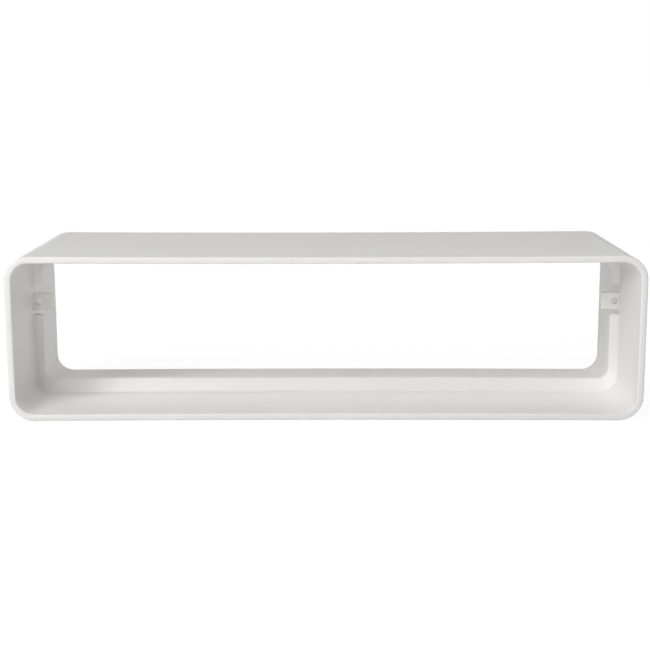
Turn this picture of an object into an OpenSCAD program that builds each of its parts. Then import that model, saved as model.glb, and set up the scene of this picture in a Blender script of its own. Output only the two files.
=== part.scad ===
// Straight connector for flat rectangular duct, moulded in one piece.
// A duct pushes into each mouth until it meets the stop ring at mid-length.
// Width runs along X, the duct runs along Y, and Z is up from the face that it lies on.

/* [Duct] */
// Outside width of the duct that pushes in
duct_w = 220; // [150:1:300]
// Outside height of the duct that pushes in
duct_h = 54; // [45:1:110]
// Outside corner radius of the duct
duct_r = 6.3; // [4:0.1:12]
// Gap between the duct and the socket on every side
clearance = 0.1; // [0.05:0.05:0.5]

/* [Sleeve] */
// Length of the sleeve along the duct
sleeve_l = 75; // [50:1:140]
// Thickness of the walls
wall_t = 2.35; // [1.8:0.05:4]
// Radius of the rounded edges of both rims
rim_r = 0.5; // [0.2:0.05:0.8]

/* [Stop ring] */
// How far the ring stands in from the top and the bottom
rise_flat = 4.9; // [2:0.1:8]
// How far the ring stands in from the two sides
rise_side = 3.3; // [2:0.1:8]
// Width of the crest along the duct
crest_w = 2.8; // [1.8:0.1:5]
// Radius of the rounded edges of the crest
crest_r = 0.8; // [0.2:0.05:0.8]
// Corner radius of the clear way through the ring
way_r = 3.8; // [2:0.1:8]
// Slope of both flanks, measured from square to the wall
flank_angle = 27; // [10:1:40]

/* [Screw lugs] */
// Height of the two lugs above the middle of the sleeve
lug_up = 7.6; // [0:0.1:12]
// Height of a lug
lug_h = 6.3; // [4.5:0.1:10]
// How far a lug reaches in from the side wall
lug_reach = 6.8; // [5:0.1:12]
// Thickness of a lug along the duct
lug_t = 3; // [2:0.1:8]
// Radius of the two free corners of a lug
lug_r = 0.8; // [0.3:0.1:2]
// Clear space between a lug and the cut end of the ring above it
gap_above = 3.1; // [1:0.1:5]
// Clear space between a lug and the cut end of the ring below it
gap_below = 1.9; // [1:0.1:5]
// Diameter of the screw hole
hole_d = 2.6; // [1.5:0.1:3.5]
// Distance from the side wall to the middle of the screw hole
hole_in = 1.8; // [1.8:0.1:3]

/* [Hidden] */
$fn = 96;
// How far the ring and the lugs run into the wall that carries them
bite = wall_t / 2;
// How far a cutting tool runs past what it cuts
over = 1;
socket_w = duct_w + 2 * clearance;
socket_h = duct_h + 2 * clearance;
socket_r = duct_r + clearance;
body_w = socket_w + 2 * wall_t;
body_h = socket_h + 2 * wall_t;
way_w = socket_w - 2 * rise_side;
way_h = socket_h - 2 * rise_flat;
// The flanks run out past the walls and are then trimmed to them
flank_run = max(rise_flat, rise_side) + wall_t + socket_r;
ring_w = crest_w + 2 * flank_run * tan(flank_angle);
gap_h = lug_h + gap_above + gap_below;
gap_up = lug_up + (gap_above - gap_below) / 2;

// Stands the sleeve on its bottom face, with the axis of the duct along Y
module laid_down() {
    translate([0, 0, body_h / 2]) rotate([90, 0, 0]) children();
}

// Filled rectangle with round corners
module rounded_rect(w, h, r) {
    square([w - 2 * r, h], center = true);
    square([w, h - 2 * r], center = true);
    for (x = [-1, 1], y = [-1, 1])
        translate([x * (w / 2 - r), y * (h / 2 - r)]) circle(r);
}

// Carries a section round a rounded rectangle, along four straights and four corners.
// The section is drawn with its x outward from the outline and its y along the duct.
module around(w, h, r) {
    for (turn = [0:3]) {
        out = (turn % 2 == 0 ? w : h) / 2;
        half = (turn % 2 == 0 ? h : w) / 2 - r;
        rotate(turn * 90) {
            translate([out, half, 0]) rotate([90, 0, 0]) linear_extrude(2 * half) children();
            translate([out - r, half, 0]) rotate_extrude(angle = 90) translate([r, 0]) children();
        }
    }
}

// Wall from rim to rim, with round edges
module wall_section() {
    translate([wall_t / 2, 0]) rounded_rect(wall_t, sleeve_l, rim_r);
}

// Stop ring from its crest outward, with sloping flanks and round crest edges
module ring_section() {
    // The round edge touches the crest and the flank
    edge = crest_w / 2 - crest_r * tan(45 - flank_angle / 2);
    touch = [crest_r * (1 - sin(flank_angle)), edge + crest_r * cos(flank_angle)];
    polygon([
        [0, -edge], [touch[0], -touch[1]], [flank_run, -ring_w / 2],
        [flank_run, ring_w / 2], touch, [0, edge],
    ]);
    for (side = [-1, 1]) translate([crest_r, side * edge]) circle(crest_r);
}

module sleeve() {
    around(socket_w, socket_h, socket_r) wall_section();
}

// Ring trimmed to the middle of the wall and opened on both sides round the lugs
module stop_ring() {
    difference() {
        intersection() {
            around(way_w, way_h, way_r) ring_section();
            translate([0, 0, -ring_w / 2]) linear_extrude(ring_w)
                rounded_rect(socket_w + 2 * bite, socket_h + 2 * bite, socket_r + bite);
        }
        for (side = [-1, 1])
            translate([side * body_w / 2, gap_up, 0])
                cube([2 * (rise_side + wall_t + over), gap_h, ring_w], center = true);
    }
}

// Lug on the right side wall, drilled along the duct
module lug() {
    root = socket_w / 2 + bite;
    tip = socket_w / 2 - lug_reach;
    translate([0, lug_up, -lug_t / 2]) difference() {
        linear_extrude(lug_t) {
            translate([tip + lug_r, -lug_h / 2]) square([root - tip - lug_r, lug_h]);
            translate([tip, lug_r - lug_h / 2]) square([root - tip, lug_h - 2 * lug_r]);
            for (y = [-1, 1])
                translate([tip + lug_r, y * (lug_h / 2 - lug_r)]) circle(lug_r);
        }
        translate([socket_w / 2 - hole_in, 0, -over])
            cylinder(d = hole_d, h = lug_t + 2 * over);
    }
}

module connector_body() {
    color("#f2f2ee") laid_down() {
        sleeve();
        stop_ring();
        for (left = [0, 1]) mirror([left, 0, 0]) lug();
    }
}

connector_body();
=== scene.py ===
import math

import bmesh
import bpy
from mathutils import Matrix, Vector


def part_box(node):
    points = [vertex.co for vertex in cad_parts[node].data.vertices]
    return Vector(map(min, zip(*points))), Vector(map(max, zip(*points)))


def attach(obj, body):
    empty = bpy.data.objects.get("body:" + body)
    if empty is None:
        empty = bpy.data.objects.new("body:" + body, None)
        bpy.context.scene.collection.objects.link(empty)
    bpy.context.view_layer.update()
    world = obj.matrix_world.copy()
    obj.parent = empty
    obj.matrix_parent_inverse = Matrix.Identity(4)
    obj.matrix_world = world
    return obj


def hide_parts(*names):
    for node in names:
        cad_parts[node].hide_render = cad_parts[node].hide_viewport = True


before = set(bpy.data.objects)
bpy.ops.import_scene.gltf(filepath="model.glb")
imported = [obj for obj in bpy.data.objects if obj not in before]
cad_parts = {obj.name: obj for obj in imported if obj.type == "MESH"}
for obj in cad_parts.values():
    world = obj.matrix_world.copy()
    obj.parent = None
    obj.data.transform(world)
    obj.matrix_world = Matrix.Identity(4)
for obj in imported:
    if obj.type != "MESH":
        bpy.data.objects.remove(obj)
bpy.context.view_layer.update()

bl_info = {
    "name": "Rectangular Duct Connector",
    "version": (1, 0, 0),
    "blender": (4, 5, 0),
    "location": "3D View > Sidebar > Duct",
    "description": "Builds a moulded connector for flat rectangular duct, with its stage",
    "category": "Object",
}

NODE = "connector_body"
SLEEVE = "duct_connector"
LOW, HIGH = (Vector(corner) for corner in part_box(NODE))
MM = 0.001

# Spacing of the sleeve's mesh: along the side walls, along the long walls and round a corner
SIDE_STEP = 3 * MM
LONG_STEP = 6 * MM
CORNER_STEPS = 20
# A loop stands this close to each round corner, and two loops no closer than the gap
BESIDE_CORNER = 0.6 * MM
LEAST_GAP = 0.3 * MM
# Points round the outline of a lug
LUG_TURNS = 144

# Where the photograph was taken from, and which way it looks
CAMERA_PLACE = (3.63 * MM, -502.7 * MM, 121.6 * MM)
CAMERA_DOWN, CAMERA_SWING, CAMERA_ROLL = (math.radians(a) for a in (10.585, 0.47, -0.175))


def linear(code):
    """Turns an sRGB hex colour into the linear RGBA that the shaders use."""
    channels = [int(code[i:i + 2], 16) / 255 for i in (1, 3, 5)]
    levels = [c / 12.92 if c <= 0.04045 else ((c + 0.055) / 1.055) ** 2.4 for c in channels]
    return (*levels, 1.0)


def per_metre(size_mm):
    """Texture scale at which one cell of a pattern is this many millimetres across."""
    return 1000 / size_mm


def add(tree, kind, settings=None, inputs=None):
    """Adds a node. Each input is a value, a socket, or a node whose first output it takes."""
    node = tree.nodes.new(kind)
    count = len(tree.nodes) - 1
    node.location = (count % 10 * 190, count // 10 * -320)
    for name, value in (settings or {}).items():
        setattr(node, name, value)
    for key, value in (inputs or {}).items():
        if isinstance(value, bpy.types.Node):
            value = value.outputs[0]
        if isinstance(value, bpy.types.NodeSocket):
            tree.links.new(value, node.inputs[key])
        else:
            node.inputs[key].default_value = value
    return node


# Sizes and colours

def length(name, description, default):
    """A size in the part's own frame, kept in metres and shown in the scene's unit."""
    return bpy.props.FloatProperty(name=name, description=description, default=default,
                                   min=0.0, subtype="DISTANCE", unit="LENGTH", precision=5)


def angle(name, description, degrees):
    """An angle, given in degrees."""
    return bpy.props.FloatProperty(name=name, description=description, default=math.radians(degrees),
                                   subtype="ANGLE", unit="ROTATION")


def level(name, description, default, most=100.0):
    """A plain number from zero up."""
    return bpy.props.FloatProperty(name=name, description=description, default=default,
                                   min=0.0, max=most)


def colour(name, description, code):
    """A colour, given as sRGB hex."""
    return bpy.props.FloatVectorProperty(name=name, description=description, default=linear(code),
                                         size=4, min=0.0, max=1.0, subtype="COLOR")


def watts(name, description, default):
    """The power of a lamp."""
    return bpy.props.FloatProperty(name=name, description=description, default=default,
                                   min=0.0, subtype="POWER", unit="POWER")


class DuctSleeveSizes(bpy.types.PropertyGroup):
    """Sizes of the sleeve and its stop ring."""
    width: length("Width", "Outside width of the sleeve", HIGH.x - LOW.x)
    height: length("Height", "Outside height of the sleeve", HIGH.z - LOW.z)
    depth: length("Length", "Length of the sleeve along the duct", HIGH.y - LOW.y)
    wall: length("Wall", "Thickness of the walls", 2.35 * MM)
    socket_r: length("Socket Radius", "Corner radius of the socket, inside", 6.4 * MM)
    rim_r: length("Rim Radius", "Radius of the rounded edges of both rims", 0.5 * MM)
    rise_flat: length("Rise On Flats", "How far the ring stands in from top and bottom", 4.9 * MM)
    rise_side: length("Rise On Sides", "How far the ring stands in from the two sides", 3.3 * MM)
    way_r: length("Clear Way Radius", "Corner radius of the clear way through the ring", 3.8 * MM)
    crest: length("Crest Width", "Width of the ring's crest along the duct", 2.8 * MM)
    crest_r: length("Crest Radius", "Radius of the rounded edges of the crest", 0.8 * MM)
    root_r: length("Root Radius", "Radius of the fillet at the foot of both flanks", 1.3 * MM)
    flank: angle("Flank Slope", "Slope of both flanks, from square to the wall", 27)
    cut_r: length("Cut Radius", "Radius of the ring's edge where it is cut beside a lug", 1.6 * MM)
    sag_top: length("Sag Of Top", "How far the top wall bows in at mid-width", 0.35 * MM)
    sag_bottom: length("Sag Of Bottom", "How far the bottom wall bows in at mid-width", 0.35 * MM)


class DuctLugSizes(bpy.types.PropertyGroup):
    """Sizes of the two drilled lugs."""
    up: length("Lug Height Up", "Height of the lugs above mid-height of the sleeve", 7.6 * MM)
    height: length("Height", "Height of a lug", 6.3 * MM)
    reach: length("Reach", "How far a lug reaches in from the side wall", 6.8 * MM)
    thick: length("Thickness", "Thickness of a lug along the duct", 3.0 * MM)
    corner_r: length("Corner Radius", "Radius of the free corners of a lug", 0.8 * MM)
    edge_r: length("Edge Radius", "Radius of the edges round both faces of a lug", 0.3 * MM)
    above: length("Gap Above", "Clear space between a lug and the cut end of the ring above it", 3.1 * MM)
    below: length("Gap Below", "Clear space between a lug and the cut end of the ring below it", 1.9 * MM)
    hole: length("Hole", "Diameter of the screw hole", 2.6 * MM)
    hole_in: length("Hole In", "Distance from the side wall to the middle of the hole", 1.8 * MM)
    hole_r: length("Hole Edge", "Radius of the hole's edges", 0.15 * MM)


class DuctPlasticFinish(bpy.types.PropertyGroup):
    """Colours and gloss of the moulded plastic."""
    light: colour("Light Tone", "Lighter tone of the plastic", "#F4F3F1")
    dark: colour("Dark Tone", "Darker tone of the plastic", "#F1F0ED")
    roughness: level("Roughness", "Mean roughness of the skin", 0.4, 1.0)


class DuctStageSettings(bpy.types.PropertyGroup):
    """Light, floor and camera."""
    left: watts("Left Softbox", "Power of the softbox at the front left", 6.1)
    top: watts("High Softbox", "Power of the softbox above the camera", 5.3)
    low: watts("Low Softbox", "Power of the softbox beside the camera", 2.5)
    away: length("Softbox Distance", "Distance from the sleeve to the softboxes", 1.3)
    wide: length("Softbox Width", "Width of the round softboxes", 0.45)
    back: level("Back Level", "Level of the soft light from behind", 1.47)
    back_up: angle("Back Height", "How far up the light from behind is centred", 15)
    right: level("Right Level", "Level of the soft light from the right", 0.14)
    floor: colour("Floor", "Colour of the floor", "#E4E4E2")
    lens: bpy.props.FloatProperty(
        name="Lens", description="Focal length of the camera in millimetres",
        default=74.77, min=1.0, subtype="DISTANCE_CAMERA")


# Sleeve and stop ring

def ring_opening(lug):
    """Middle, above mid-height, and height of the opening in the ring round each lug."""
    return lug.up + (lug.above - lug.below) / 2, lug.height + lug.above + lug.below


def rim_stations(s, lug):
    """Points round the sleeve: the unit place of the round corner's centre, and the way outward."""
    stations = []
    for turn in range(4):
        out = Vector((round(math.cos(turn * math.pi / 2)), round(math.sin(turn * math.pi / 2))))
        along = Vector((-out.y, out.x))
        side = turn % 2 == 0
        half = (s.height if side else s.width) / 2 - s.wall - s.socket_r
        steps = math.ceil(2 * half / (SIDE_STEP if side else LONG_STEP))
        spots = {round(-half + 2 * half * i / steps, 7) for i in range(steps + 1)}
        spots |= {half - BESIDE_CORNER, BESIDE_CORNER - half}
        if side:
            middle, opening = ring_opening(lug)
            # Close points round each cut edge of the ring, and one just inside the opening
            cuts = [s.cut_r * (1 - math.cos(math.pi / 12 * k)) for k in range(7)] + [-0.02 * MM]
            ups = [along.y * (middle + end * (opening / 2 + cut)) for end in (-1, 1) for cut in cuts]
            spots = {spot for spot in spots if min(abs(spot - up) for up in ups) > LEAST_GAP}
            spots |= set(ups)
        stations += [(out + along * spot / half, out) for spot in sorted(spots)]
        for k in range(1, CORNER_STEPS):
            heading = (turn + k / CORNER_STEPS) * math.pi / 2
            stations.append((out + along, Vector((math.cos(heading), math.sin(heading)))))
    return stations


def arc(centre, radius, start, end, steps):
    """Points of an arc with its ends, its angles in degrees."""
    angles = [math.radians(start + (end - start) * i / steps) for i in range(steps + 1)]
    return [(centre[0] + radius * math.cos(a), centre[1] + radius * math.sin(a)) for a in angles]


def wall_section(s):
    """Section of the wall, as (outward, along, share of the ring's rise, whether it is the ring)."""
    slope, half = s.flank, s.depth / 2
    run = math.degrees(slope)
    foot = s.crest / 2 + s.rise_flat * math.tan(slope)
    tangent = s.root_r * math.tan((math.pi / 2 - slope) / 2)
    edge = s.crest / 2 - s.crest_r * math.tan((math.pi / 2 - slope) / 2)
    # Front half of the ring, as (rise, along): fillet, flank, crest edge
    front = arc((s.root_r, -foot - tangent), s.root_r, 180, 90 + run, 8)
    front += arc((s.rise_flat - s.crest_r, -edge), s.crest_r, run - 90, 0, 8)
    ring = [(0, y, u / s.rise_flat, 1) for u, y in front]
    ring += [(0, -y, rise, 1) for _, y, rise, _ in reversed(ring)]
    # Rim corners from inside to outside, with a loop beside each so that the flats stay flat
    r, hold = s.rim_r, 0.3 * MM
    rear = [(0, half - r - hold)] + arc((r, half - r), r, 180, 90, 6) + [(s.wall / 2, half)]
    rear += arc((s.wall - r, half - r), r, 90, 0, 6) + [(s.wall, half - r - hold)]
    rim = [(x, y, 0, 0) for x, y in rear]
    flat = [(0, foot + tangent + hold, 0, 0)]
    start = [(x, -y, rise, on) for x, y, rise, on in flat]
    front_rim = [(x, -y, 0, 0) for x, y, _, _ in reversed(rim)]
    return start + ring + flat + rim + [(s.wall, 0, 0, 0)] + front_rim


def loop_mesh(name, points, attributes):
    """A closed line of points, each with named numbers or vectors."""
    mesh = bpy.data.meshes.new(name)
    count = len(points)
    mesh.from_pydata(points, [(i, (i + 1) % count) for i in range(count)], [])
    for key, values in attributes.items():
        vector = isinstance(values[0], Vector)
        layer = mesh.attributes.new(key, "FLOAT_VECTOR" if vector else "FLOAT", "POINT")
        flat = [c for value in values for c in value] if vector else values
        layer.data.foreach_set("vector" if vector else "value", flat)
    thing = bpy.data.objects.new(name, mesh)
    bpy.context.scene.collection.objects.link(thing)
    return thing


def new_tree(name, sizes, objects=()):
    """A geometry tree with its geometry, sizes, objects and material as named inputs."""
    tree = bpy.data.node_groups.new(name, "GeometryNodeTree")
    tree.interface.new_socket("Geometry", in_out="OUTPUT", socket_type="NodeSocketGeometry")
    tree.interface.new_socket("Geometry", in_out="INPUT", socket_type="NodeSocketGeometry")
    for size in sizes:
        tree.interface.new_socket(size, in_out="INPUT", socket_type="NodeSocketFloat")
    for thing in objects:
        tree.interface.new_socket(thing, in_out="INPUT", socket_type="NodeSocketObject")
    tree.interface.new_socket("Material", in_out="INPUT", socket_type="NodeSocketMaterial")
    return tree, add(tree, "NodeGroupInput").outputs


def sweep_tree():
    """Sweeps the wall section round the sleeve, then raises the ring and bows the long walls."""
    tree, given = new_tree("Duct sleeve sweep", (
        "Width", "Height", "Wall", "Socket Radius", "Rise On Flats", "Rise On Sides", "Clear Way Radius",
        "Flank Slope", "Opening Up", "Opening In Ring", "Cut Radius", "Sag Of Top", "Sag Of Bottom",
    ), ("Section",))
    core = add(tree, "GeometryNodeInputNamedAttribute", {"data_type": "FLOAT_VECTOR"}, {"Name": "core"})
    out = add(tree, "GeometryNodeInputNamedAttribute", {"data_type": "FLOAT_VECTOR"}, {"Name": "out"})
    rise = add(tree, "GeometryNodeInputNamedAttribute", {"data_type": "FLOAT"}, {"Name": "rise"})
    ring = add(tree, "GeometryNodeInputNamedAttribute", {"data_type": "FLOAT"}, {"Name": "ring"})

    # Half sizes of the socket, less its corner radius, are where the corners' centres lie
    margin = add(tree, "ShaderNodeMath", {"operation": "ADD"},
                 {0: given["Wall"], 1: given["Socket Radius"]})
    less = add(tree, "ShaderNodeMath", {"operation": "MULTIPLY"}, {0: margin, 1: -1.0})
    half_w = add(tree, "ShaderNodeMath", {"operation": "MULTIPLY_ADD"},
                 {0: given["Width"], 1: 0.5, 2: less})
    half_h = add(tree, "ShaderNodeMath", {"operation": "MULTIPLY_ADD"},
                 {0: given["Height"], 1: 0.5, 2: less})
    halves = add(tree, "ShaderNodeCombineXYZ", {}, {"X": half_w, "Z": half_h})
    middle = add(tree, "ShaderNodeMath", {"operation": "MULTIPLY"}, {0: given["Height"], 1: 0.5})
    lift = add(tree, "ShaderNodeCombineXYZ", {}, {"Z": middle})
    centre = add(tree, "ShaderNodeVectorMath", {"operation": "MULTIPLY_ADD"},
                 {0: core, 1: halves, 2: lift})
    corner = add(tree, "ShaderNodeVectorMath", {"operation": "SCALE"},
                 {0: out, "Scale": given["Socket Radius"]})
    wall = add(tree, "ShaderNodeVectorMath", {"operation": "ADD"}, {0: centre, 1: corner})

    # The sweep: the outline takes its place, and the section goes round it with the wall outward
    outline = add(tree, "GeometryNodeMeshToCurve", {}, {0: given["Geometry"]})
    placed = add(tree, "GeometryNodeSetPosition", {}, {"Geometry": outline, "Position": wall})
    facing = add(tree, "GeometryNodeSetCurveNormal", {"mode": "FREE"}, {"Curve": placed, "Normal": out})
    section = add(tree, "GeometryNodeObjectInfo", {}, {"Object": given["Section"]})
    profile = add(tree, "GeometryNodeMeshToCurve", {}, {0: section.outputs["Geometry"]})
    swept = add(tree, "GeometryNodeCurveToMesh", {}, {"Curve": facing, "Profile Curve": profile})

    # The crest: straight in from the wall by its rise, its corners' centres drawn in near each corner
    drop_w = add(tree, "ShaderNodeMath", {"operation": "SUBTRACT"},
                 {0: given["Rise On Sides"], 1: given["Socket Radius"]})
    drop_h = add(tree, "ShaderNodeMath", {"operation": "SUBTRACT"},
                 {0: given["Rise On Flats"], 1: given["Socket Radius"]})
    drops = add(tree, "ShaderNodeCombineXYZ", {}, {"X": drop_w, "Z": drop_h})
    way = add(tree, "ShaderNodeCombineXYZ", {},
              {"X": given["Clear Way Radius"], "Z": given["Clear Way Radius"]})
    pull = add(tree, "ShaderNodeVectorMath", {"operation": "ADD"}, {0: drops, 1: way})
    size = add(tree, "ShaderNodeVectorMath", {"operation": "ABSOLUTE"}, {0: core})
    # Inputs 7 to 10 are its From Min, From Max, To Min and To Max as vectors
    near = add(tree, "ShaderNodeMapRange", {"data_type": "FLOAT_VECTOR"}, {
        "Vector": size, 7: (0.7, 0.7, 0.7), 8: (1.0, 1.0, 1.0), 9: (0.0, 0.0, 0.0), 10: pull})
    way_side = add(tree, "ShaderNodeVectorMath", {"operation": "SIGN"}, {0: core})
    shift = add(tree, "ShaderNodeVectorMath", {"operation": "MULTIPLY"},
                {0: near.outputs["Vector"], 1: way_side})
    shrink = add(tree, "ShaderNodeMath", {"operation": "SUBTRACT"},
                 {0: given["Socket Radius"], 1: given["Clear Way Radius"]})
    turn_in = add(tree, "ShaderNodeVectorMath", {"operation": "SCALE"}, {0: out, "Scale": shrink})
    inward = add(tree, "ShaderNodeVectorMath", {"operation": "ADD"}, {0: shift, 1: turn_in})
    climb = add(tree, "ShaderNodeVectorMath", {"operation": "LENGTH"}, {0: inward})

    # The ring is missing round each lug, with a round edge at the cut
    place = add(tree, "GeometryNodeInputPosition")
    axes = add(tree, "ShaderNodeSeparateXYZ", {}, {0: place})
    open_z = add(tree, "ShaderNodeMath", {"operation": "ADD"}, {0: middle, 1: given["Opening Up"]})
    away = add(tree, "ShaderNodeMath", {"operation": "SUBTRACT"}, {0: axes.outputs["Z"], 1: open_z})
    far = add(tree, "ShaderNodeMath", {"operation": "ABSOLUTE"}, {0: away})
    cut = add(tree, "ShaderNodeMath", {"operation": "MULTIPLY_ADD"},
              {0: given["Opening In Ring"], 1: -0.5, 2: far})
    into = add(tree, "ShaderNodeMath", {"operation": "DIVIDE"}, {0: cut, 1: given["Cut Radius"]})
    left = add(tree, "ShaderNodeMath", {"operation": "SUBTRACT", "use_clamp": True}, {0: 1.0, 1: into})
    square = add(tree, "ShaderNodeMath", {"operation": "MULTIPLY"}, {0: left, 1: left})
    rest = add(tree, "ShaderNodeMath", {"operation": "SUBTRACT", "use_clamp": True}, {0: 1.0, 1: square})
    root = add(tree, "ShaderNodeMath", {"operation": "SQRT"}, {0: rest})
    dip = add(tree, "ShaderNodeMath", {"operation": "SUBTRACT"}, {0: 1.0, 1: root})
    lost = add(tree, "ShaderNodeMath", {"operation": "MULTIPLY"}, {0: dip, 1: given["Cut Radius"]})
    part = add(tree, "ShaderNodeMath", {"operation": "DIVIDE"}, {0: lost, 1: climb.outputs["Value"]})
    kept = add(tree, "ShaderNodeMath", {"operation": "SUBTRACT"}, {0: 1.0, 1: part})
    stands = add(tree, "ShaderNodeMath", {"operation": "GREATER_THAN"}, {0: cut, 1: -0.01 * MM})
    present = add(tree, "ShaderNodeMath", {"operation": "MULTIPLY"}, {0: kept, 1: stands})

    # Raise the ring's points, and draw its flanks together where the rise is smaller
    amount = add(tree, "ShaderNodeMath", {"operation": "MULTIPLY"}, {0: rise, 1: present})
    raised = add(tree, "ShaderNodeVectorMath", {"operation": "SCALE"}, {0: inward, "Scale": amount})
    spare = add(tree, "ShaderNodeMath", {"operation": "SUBTRACT"},
                {0: climb.outputs["Value"], 1: given["Rise On Flats"]})
    under = add(tree, "ShaderNodeMath", {"operation": "SUBTRACT"}, {0: 1.0, 1: rise})
    lean = add(tree, "ShaderNodeMath", {"operation": "TANGENT"}, {0: given["Flank Slope"]})
    way_y = add(tree, "ShaderNodeMath", {"operation": "SIGN"}, {0: axes.outputs["Y"]})
    first = add(tree, "ShaderNodeMath", {"operation": "MULTIPLY"}, {0: spare, 1: under})
    second = add(tree, "ShaderNodeMath", {"operation": "MULTIPLY"}, {0: first, 1: lean})
    third = add(tree, "ShaderNodeMath", {"operation": "MULTIPLY"}, {0: second, 1: way_y})
    draw = add(tree, "ShaderNodeMath", {"operation": "MULTIPLY"}, {0: third, 1: ring})
    draw_y = add(tree, "ShaderNodeCombineXYZ", {}, {"Y": draw})
    moved = add(tree, "ShaderNodeVectorMath", {"operation": "SUBTRACT"}, {0: draw_y, 1: raised})
    ringed = add(tree, "GeometryNodeSetPosition", {}, {"Geometry": swept, "Offset": moved})

    # Both long walls bow in a little at mid-width, as such a thin moulding does
    across = add(tree, "ShaderNodeMath", {"operation": "DIVIDE"}, {0: axes.outputs["X"], 1: half_w})
    across_2 = add(tree, "ShaderNodeMath", {"operation": "MULTIPLY"}, {0: across, 1: across})
    mid = add(tree, "ShaderNodeMath", {"operation": "SUBTRACT", "use_clamp": True},
              {0: 1.0, 1: across_2})
    high = add(tree, "ShaderNodeMath", {"operation": "DIVIDE", "use_clamp": True},
               {0: axes.outputs["Z"], 1: given["Height"]})
    down = add(tree, "ShaderNodeMath", {"operation": "ADD"},
               {0: given["Sag Of Top"], 1: given["Sag Of Bottom"]})
    share = add(tree, "ShaderNodeMath", {"operation": "MULTIPLY"}, {0: down, 1: high})
    bow = add(tree, "ShaderNodeMath", {"operation": "SUBTRACT"}, {0: given["Sag Of Bottom"], 1: share})
    bowed = add(tree, "ShaderNodeMath", {"operation": "MULTIPLY"}, {0: bow, 1: mid})
    bow_z = add(tree, "ShaderNodeCombineXYZ", {}, {"Z": bowed})
    sagged = add(tree, "GeometryNodeSetPosition", {}, {"Geometry": ringed, "Offset": bow_z})

    real = add(tree, "GeometryNodeRealizeInstances", {}, {0: sagged})
    coated = add(tree, "GeometryNodeSetMaterial", {}, {"Geometry": real, "Material": given["Material"]})
    add(tree, "NodeGroupOutput", {}, {0: coated})
    return tree


def run_tree(thing, tree, values):
    """Runs a tree on an object and swaps its mesh for the plain result."""
    modifier = thing.modifiers.new(tree.name, "NODES")
    modifier.node_group = tree
    named = {item.name: item.identifier for item in tree.interface.items_tree
             if item.item_type == "SOCKET" and item.in_out == "INPUT"}
    for name, value in values.items():
        modifier[named[name]] = value
    bpy.context.view_layer.update()
    scene_view = bpy.context.evaluated_depsgraph_get()
    result = bpy.data.meshes.new_from_object(thing.evaluated_get(scene_view))
    thing.modifiers.clear()
    old, thing.data = thing.data, result
    bpy.data.meshes.remove(old)
    if not result.polygons:
        raise RuntimeError(f"{tree.name} made no faces")


def make_sleeve(context):
    """Makes the sleeve with its stop ring, as one swept wall."""
    s, lug = context.scene.duct_sleeve, context.scene.duct_lugs
    stations = rim_stations(s, lug)
    flat = [Vector((out.x, 0, out.y)) for _, out in stations]
    sleeve = loop_mesh(SLEEVE, [(core.x, 0, core.y) for core, _ in stations], {
        "core": [Vector((core.x, 0, core.y)) for core, _ in stations], "out": flat})
    rows = wall_section(s)
    section = loop_mesh("wall_section", [(x, y, 0) for x, y, _, _ in rows], {
        "rise": [row[2] for row in rows], "ring": [float(row[3]) for row in rows]})
    run_tree(sleeve, sweep_tree(), {
        "Width": s.width, "Height": s.height, "Wall": s.wall, "Socket Radius": s.socket_r,
        "Rise On Flats": s.rise_flat, "Rise On Sides": s.rise_side, "Clear Way Radius": s.way_r,
        "Flank Slope": s.flank, "Opening Up": ring_opening(lug)[0], "Opening In Ring": ring_opening(lug)[1],
        "Cut Radius": s.cut_r, "Sag Of Top": s.sag_top, "Sag Of Bottom": s.sag_bottom,
        "Section": section, "Material": plastic(context.scene.duct_finish)})
    bpy.data.objects.remove(section)
    clean(sleeve.data)
    return sleeve


def clean(mesh):
    """Merges doubled points and turns every face outward."""
    work = bmesh.new()
    work.from_mesh(mesh)
    bmesh.ops.remove_doubles(work, verts=work.verts, dist=0.002 * MM)
    bmesh.ops.dissolve_degenerate(work, edges=work.edges, dist=0.001 * MM)
    bmesh.ops.recalc_face_normals(work, faces=work.faces)
    work.to_mesh(mesh)
    work.free()


# Screw lugs

def block_reach(start, heading, half, radius):
    """Distance from a point inside a round-cornered block to its outline, along a heading."""
    ray = Vector((math.cos(heading), math.sin(heading)))
    near, far = 0.0, 2 * (half.x + half.y)
    for _ in range(40):
        reach = (near + far) / 2
        spot = start + ray * reach
        over = Vector((max(abs(spot.x) - half.x + radius, 0), max(abs(spot.y) - half.y + radius, 0)))
        inside = over.length < radius
        near, far = (reach, far) if inside else (near, reach)
    return near


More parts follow.
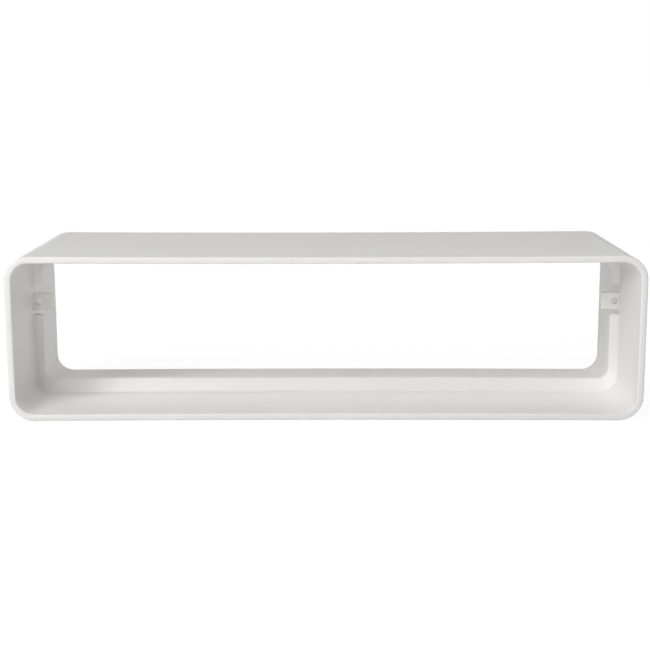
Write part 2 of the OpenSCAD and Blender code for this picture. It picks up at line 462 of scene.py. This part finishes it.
def lug_block(s, lug):
    """One right-hand lug about its hole: a drilled block with soft edges, its root inside the wall."""
    root = s.width / 2 - s.wall / 2
    tip = s.width / 2 - s.wall - lug.reach
    hole_x = s.width / 2 - s.wall - lug.hole_in
    half = Vector(((root - tip) / 2, lug.height / 2))
    hole = Vector((hole_x - (root + tip) / 2, 0))
    edge, lip, thick = lug.edge_r, lug.hole_r, lug.thick / 2
    # Each row is (radius of the hole or None, inset of the outline, place along the duct)
    front = [(lug.hole / 2 + x, None, y) for x, y in arc((lip, lip - thick), lip, 180, 270, 4)]
    front += [(lug.hole / 2 + lip + 0.2 * MM, None, -thick), (None, edge + 0.2 * MM, -thick)]
    front += [(None, -x, y) for x, y in arc((-edge, edge - thick), edge, 270, 360, 5)]
    rows = front + [(radius, inset, -y) for radius, inset, y in reversed(front)]
    work = bmesh.new()
    grid = []
    for k in range(LUG_TURNS):
        heading = 2 * math.pi * k / LUG_TURNS
        line = []
        for radius, inset, y in rows:
            if radius is None:
                small = Vector((half.x - inset, half.y - inset))
                radius = block_reach(hole, heading, small, lug.corner_r - inset)
            line.append(work.verts.new((radius * math.cos(heading), y, radius * math.sin(heading))))
        grid.append(line)
    for k in range(LUG_TURNS):
        for j in range(len(rows)):
            after = (k + 1) % LUG_TURNS
            beside = (j + 1) % len(rows)
            work.faces.new((grid[k][j], grid[after][j], grid[after][beside], grid[k][beside]))
    bmesh.ops.recalc_face_normals(work, faces=work.faces)
    mesh = bpy.data.meshes.new("screw_lug")
    work.to_mesh(mesh)
    work.free()
    block = bpy.data.objects.new("screw_lug", mesh)
    bpy.context.scene.collection.objects.link(block)
    return block


def lug_tree():
    """Sets one lug on each side wall, the left one turned about, and joins both to the sleeve."""
    tree, given = new_tree("Duct screw lugs", ("Hole Spacing", "Hole Height"), ("Lug",))
    half = add(tree, "ShaderNodeMath", {"operation": "MULTIPLY"}, {0: given["Hole Spacing"], 1: 0.5})
    back = add(tree, "ShaderNodeMath", {"operation": "MULTIPLY"}, {0: half, 1: -1.0})
    right = add(tree, "ShaderNodeCombineXYZ", {}, {"X": half, "Z": given["Hole Height"]})
    left = add(tree, "ShaderNodeCombineXYZ", {}, {"X": back, "Z": given["Hole Height"]})
    places = add(tree, "GeometryNodeMeshLine", {"mode": "END_POINTS"},
                 {"Count": 2, "Start Location": right, "Offset": left})
    index = add(tree, "GeometryNodeInputIndex")
    about = add(tree, "ShaderNodeMath", {"operation": "MULTIPLY"}, {0: index, 1: math.pi})
    turn = add(tree, "ShaderNodeCombineXYZ", {}, {"Z": about})
    source = add(tree, "GeometryNodeObjectInfo", {}, {"Object": given["Lug"]})
    lugs = add(tree, "GeometryNodeInstanceOnPoints", {},
               {"Points": places, "Instance": source.outputs["Geometry"], "Rotation": turn})
    real = add(tree, "GeometryNodeRealizeInstances", {}, {0: lugs})
    joined = add(tree, "GeometryNodeMeshBoolean", {"operation": "UNION", "solver": "EXACT"})
    tree.links.new(given["Geometry"], joined.inputs["Mesh 2"])
    tree.links.new(real.outputs[0], joined.inputs["Mesh 2"])
    whole = add(tree, "GeometryNodeRealizeInstances", {}, {0: joined})
    coated = add(tree, "GeometryNodeSetMaterial", {}, {"Geometry": whole, "Material": given["Material"]})
    add(tree, "NodeGroupOutput", {}, {0: coated})
    return tree


def add_lugs(context, sleeve):
    """Joins both lugs to the sleeve, as the mould does, and finishes the moulding's shading."""
    s, lug = context.scene.duct_sleeve, context.scene.duct_lugs
    block = lug_block(s, lug)
    run_tree(sleeve, lug_tree(), {
        "Hole Spacing": s.width - 2 * s.wall - 2 * lug.hole_in, "Hole Height": s.height / 2 + lug.up,
        "Lug": block, "Material": plastic(context.scene.duct_finish)})
    bpy.data.objects.remove(block)
    clean(sleeve.data)
    sleeve.data.shade_smooth()
    sleeve.data.set_sharp_from_angle(angle=math.radians(35))


# Plastic

def plastic(finish):
    """Moulded PVC: an even satin white, faintly cloudy, with a soft skin that blurs what it mirrors."""
    name = "injection_moulded_pvc_satin_white"
    if name in bpy.data.materials:
        return bpy.data.materials[name]
    material = bpy.data.materials.new(name)
    material.use_nodes = True
    tree = material.node_tree
    tree.nodes.clear()
    place = add(tree, "ShaderNodeTexCoord")
    # Melt clouds, 35 mm across, where warm and cool melt met
    spot = place.outputs["Object"]
    cloud = add(tree, "ShaderNodeTexNoise", {}, {"Vector": spot, "Scale": per_metre(35), "Detail": 3.0})
    # Inputs 6 and 7 are the two colours that it mixes, and output 2 is the mixed one
    tone = add(tree, "ShaderNodeMix", {"data_type": "RGBA"}, {
        0: cloud, 6: tuple(finish.dark), 7: tuple(finish.light)})
    # Draw marks along the duct where the core slid out, 1.2 mm apart, wider than real so that they show
    drawn = add(tree, "ShaderNodeMapping", {}, {"Vector": spot, "Scale": (1.0, 0.03, 1.0)})
    marks = add(tree, "ShaderNodeTexNoise", {},
                {"Vector": drawn, "Scale": per_metre(1.2), "Detail": 2.0})
    # The faces square to the duct, such as the rims, were never dragged on
    facing = add(tree, "ShaderNodeSeparateXYZ", {}, {0: place.outputs["Normal"]})
    square = add(tree, "ShaderNodeMath", {"operation": "ABSOLUTE"}, {0: facing.outputs["Y"]})
    dragged = add(tree, "ShaderNodeMapRange", {}, {
        "Value": square, "From Min": 0.1, "From Max": 0.5, "To Min": 0.15, "To Max": 0.0})
    # Orange peel of the mould's blasted skin, 0.9 mm across
    peel = add(tree, "ShaderNodeTexNoise", {}, {"Vector": spot, "Scale": per_metre(0.9), "Detail": 2.0})
    rough = add(tree, "ShaderNodeMapRange", {}, {
        "Value": marks, "From Min": 0.3, "From Max": 0.7,
        "To Min": finish.roughness - 0.05, "To Max": finish.roughness + 0.05})
    depth = 0.02 * MM
    skin = add(tree, "ShaderNodeBump", {}, {"Strength": 0.25, "Distance": depth, "Height": peel})
    drag = add(tree, "ShaderNodeBump", {}, {
        "Strength": dragged, "Distance": depth, "Height": marks, "Normal": skin})
    shader = add(tree, "ShaderNodeBsdfPrincipled", {}, {
        "Base Color": tone.outputs[2], "Roughness": rough, "IOR": 1.53, "Specular IOR Level": 0.3,
        "Subsurface Weight": 1.0, "Subsurface Radius": (1.0, 1.0, 1.0), "Subsurface Scale": 1.2 * MM,
        "Normal": drag})
    add(tree, "ShaderNodeOutputMaterial", {}, {0: shader})
    return material


# Stage

def floor_paint(stage):
    """Matt paint on a studio floor: the camera sees it white, with the object's soft shadow on it."""
    material = bpy.data.materials.new("matt_studio_paint")
    material.use_nodes = True
    tree = material.node_tree
    tree.nodes.clear()
    grain = add(tree, "ShaderNodeTexCoord")
    speck = add(tree, "ShaderNodeTexNoise", {},
                {"Vector": grain.outputs["Object"], "Scale": per_metre(4)})
    rough = add(tree, "ShaderNodeMapRange", {},
                {"Value": speck.outputs[0], "To Min": 0.8, "To Max": 0.95})
    paint = add(tree, "ShaderNodeBsdfPrincipled", {}, {
        "Base Color": tuple(stage.floor), "Roughness": rough, "Specular IOR Level": 0.1})
    shaded = add(tree, "ShaderNodeBsdfDiffuse", {}, {"Color": (0.14, 0.14, 0.14, 1.0)})
    # The paper's own level rises where the lamps don't reach, so that no edge shows far off
    off = add(tree, "ShaderNodeVectorMath", {"operation": "LENGTH"}, {0: grain.outputs["Object"]})
    own = add(tree, "ShaderNodeMapRange", {}, {
        "Value": off.outputs["Value"], "From Min": 0.2, "From Max": 1.2, "To Min": 0.92, "To Max": 1.0})
    glow = add(tree, "ShaderNodeEmission", {}, {"Color": (1.0, 1.0, 1.0, 1.0), "Strength": own})
    seen = add(tree, "ShaderNodeAddShader", {}, {0: shaded, 1: glow})
    rays = add(tree, "ShaderNodeLightPath")
    mirror = add(tree, "ShaderNodeMath", {"operation": "MAXIMUM"},
                 {0: rays.outputs["Is Glossy Ray"], 1: rays.outputs["Is Transmission Ray"]})
    looks = add(tree, "ShaderNodeMath", {"operation": "MAXIMUM"},
                {0: rays.outputs["Is Camera Ray"], 1: mirror})
    mixed = add(tree, "ShaderNodeMixShader", {}, {0: looks, 1: paint, 2: seen})
    add(tree, "ShaderNodeOutputMaterial", {}, {0: mixed})
    return material


def make_floor(stage):
    """A wide flat floor under the sleeve."""
    mesh = bpy.data.meshes.new("studio_floor")
    reach = 9.0
    corners = [(x * reach, y * reach, 0) for x, y in ((-1, -1), (1, -1), (1, 1), (-1, 1))]
    mesh.from_pydata(corners, [], [(0, 1, 2, 3)])
    mesh.materials.append(floor_paint(stage))
    floor = bpy.data.objects.new("studio_floor", mesh)
    bpy.context.scene.collection.objects.link(floor)
    # A hair below the sleeve, so that the two faces don't coincide
    floor.location.z = -0.05 * MM


def make_light(stage):
    """Three round softboxes in front, and a pale studio that is brightest behind the sleeve."""
    middle = Vector((0, 0, (LOW.z + HIGH.z) / 2))
    # Degrees to the left of straight in front, and degrees up
    for name, power, left, up in (("left_softbox", stage.left, 40, 24), ("high_softbox", stage.top, 20, 52),
                                  ("low_softbox", stage.low, 3, 7)):
        light = bpy.data.lights.new(name, "AREA")
        light.shape = "DISK"
        light.size = stage.wide
        light.energy = power
        lamp = bpy.data.objects.new(name, light)
        bpy.context.scene.collection.objects.link(lamp)
        # The low one would glare on the flat top when seen from behind
        lamp.visible_glossy = name != "low_softbox"
        turn, tilt = math.radians(left), math.radians(up)
        way = Vector((-math.sin(turn) * math.cos(tilt), -math.cos(turn) * math.cos(tilt), math.sin(tilt)))
        aim = way.to_track_quat("Z", "Y").to_matrix().to_4x4()
        lamp.matrix_world = Matrix.Translation(middle + stage.away * way) @ aim

    world = bpy.data.worlds.new("pale_studio")
    world.use_nodes = True
    tree = world.node_tree
    tree.nodes.clear()
    look = add(tree, "ShaderNodeTexCoord")
    # Soft light from the right and from high behind, each strongest straight on
    behind = (0.0, math.cos(stage.back_up), math.sin(stage.back_up))
    total = 0.0
    for strength, way in ((stage.right, (1.0, 0.0, 0.0)), (stage.back, behind)):
        toward = add(tree, "ShaderNodeVectorMath", {"operation": "DOT_PRODUCT"},
                     {0: look.outputs["Generated"], 1: way})
        facing = add(tree, "ShaderNodeMath", {"operation": "MAXIMUM"},
                     {0: toward.outputs["Value"], 1: 0.0})
        square = add(tree, "ShaderNodeMath", {"operation": "MULTIPLY"}, {0: facing, 1: facing})
        total = add(tree, "ShaderNodeMath", {"operation": "MULTIPLY_ADD"},
                    {0: square, 1: strength, 2: total})
    light = add(tree, "ShaderNodeBackground", {}, {"Strength": total})
    # The gloss mirrors white paper near the floor, which fades into a dark room above it
    axes = add(tree, "ShaderNodeSeparateXYZ", {}, {0: look.outputs["Generated"]})
    low = add(tree, "ShaderNodeMapRange", {"interpolation_type": "SMOOTHSTEP"}, {
        "Value": axes.outputs["Z"], "From Min": 0.05, "From Max": 0.2, "To Min": 1.0, "To Max": 0.0})
    mirrored = add(tree, "ShaderNodeBackground", {}, {"Strength": low})
    paper = add(tree, "ShaderNodeBackground", {}, {"Strength": 1.0})
    for background in (light, mirrored, paper):
        background.inputs["Color"].default_value = (1.0, 1.0, 1.0, 1.0)
    rays = add(tree, "ShaderNodeLightPath")
    gloss = add(tree, "ShaderNodeMath", {"operation": "MAXIMUM"},
                {0: rays.outputs["Is Glossy Ray"], 1: rays.outputs["Is Transmission Ray"]})
    lit = add(tree, "ShaderNodeMixShader", {}, {0: gloss, 1: light, 2: mirrored})
    seen = add(tree, "ShaderNodeMixShader", {}, {0: rays.outputs["Is Camera Ray"], 1: lit, 2: paper})
    add(tree, "ShaderNodeOutputWorld", {}, {0: seen})
    bpy.context.scene.world = world


def make_camera(stage):
    """The photograph's view into the front mouth, from a little above the sleeve."""
    data = bpy.data.cameras.new("front_view")
    data.lens = stage.lens
    data.sensor_width = 36.0
    data.clip_start = 0.01
    camera = bpy.data.objects.new("front_view", data)
    bpy.context.scene.collection.objects.link(camera)
    tilt = Matrix.Rotation(math.pi / 2 - CAMERA_DOWN, 4, "X")
    swing = Matrix.Rotation(CAMERA_SWING, 4, "Z")
    roll = Matrix.Rotation(CAMERA_ROLL, 4, "Z")
    camera.matrix_world = Matrix.Translation(CAMERA_PLACE) @ swing @ tilt @ roll
    bpy.context.scene.camera = camera


# Operators

class DUCT_OT_sleeve(bpy.types.Operator):
    """Make the sleeve with its stop ring"""
    bl_idname = "duct.make_sleeve"
    bl_label = "Make Sleeve And Ring"

    def execute(self, context):
        make_sleeve(context)
        return {"FINISHED"}


class DUCT_OT_lugs(bpy.types.Operator):
    """Join the two drilled lugs to the sleeve"""
    bl_idname = "duct.make_lugs"
    bl_label = "Make Screw Lugs"

    def execute(self, context):
        sleeve = bpy.data.objects.get(SLEEVE)
        if sleeve is None:
            raise RuntimeError("the sleeve is made before its lugs")
        add_lugs(context, sleeve)
        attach(sleeve, "root")
        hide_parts(NODE)
        return {"FINISHED"}


class DUCT_OT_stage(bpy.types.Operator):
    """Make the floor, the light and the camera"""
    bl_idname = "duct.make_stage"
    bl_label = "Make Stage"

    def execute(self, context):
        stage = context.scene.duct_stage
        make_floor(stage)
        make_light(stage)
        make_camera(stage)
        context.scene.view_settings.view_transform = "Standard"
        return {"FINISHED"}


class DUCT_PT_connector(bpy.types.Panel):
    """Lists the sizes, the finish and the steps that build the connector"""
    bl_idname = "DUCT_PT_connector"
    bl_label = "Duct Connector"
    bl_space_type = "VIEW_3D"
    bl_region_type = "UI"
    bl_category = "Duct"

    def draw(self, context):
        for title, group in (("Sleeve", "duct_sleeve"), ("Lugs", "duct_lugs"),
                             ("Finish", "duct_finish"), ("Stage", "duct_stage")):
            box = self.layout.box()
            box.label(text=title)
            settings = getattr(context.scene, group)
            for key in settings.__annotations__:
                box.prop(settings, key)
        for step in (DUCT_OT_sleeve, DUCT_OT_lugs, DUCT_OT_stage):
            self.layout.operator(step.bl_idname)


GROUPS = {"duct_sleeve": DuctSleeveSizes, "duct_lugs": DuctLugSizes,
          "duct_finish": DuctPlasticFinish, "duct_stage": DuctStageSettings}
CLASSES = (*GROUPS.values(), DUCT_OT_sleeve, DUCT_OT_lugs, DUCT_OT_stage, DUCT_PT_connector)


def register():
    """Registers the classes and gives the scene their settings."""
    for cls in CLASSES:
        bpy.utils.register_class(cls)
    for name, group in GROUPS.items():
        setattr(bpy.types.Scene, name, bpy.props.PointerProperty(type=group))


def unregister():
    """Takes the settings and the classes away again."""
    for name in GROUPS:
        delattr(bpy.types.Scene, name)
    for cls in reversed(CLASSES):
        bpy.utils.unregister_class(cls)


def main():
    """Builds the connector and its stage."""
    register()
    bpy.ops.duct.make_sleeve()
    bpy.ops.duct.make_lugs()
    bpy.ops.duct.make_stage()


if __name__ == "__main__":
    main()
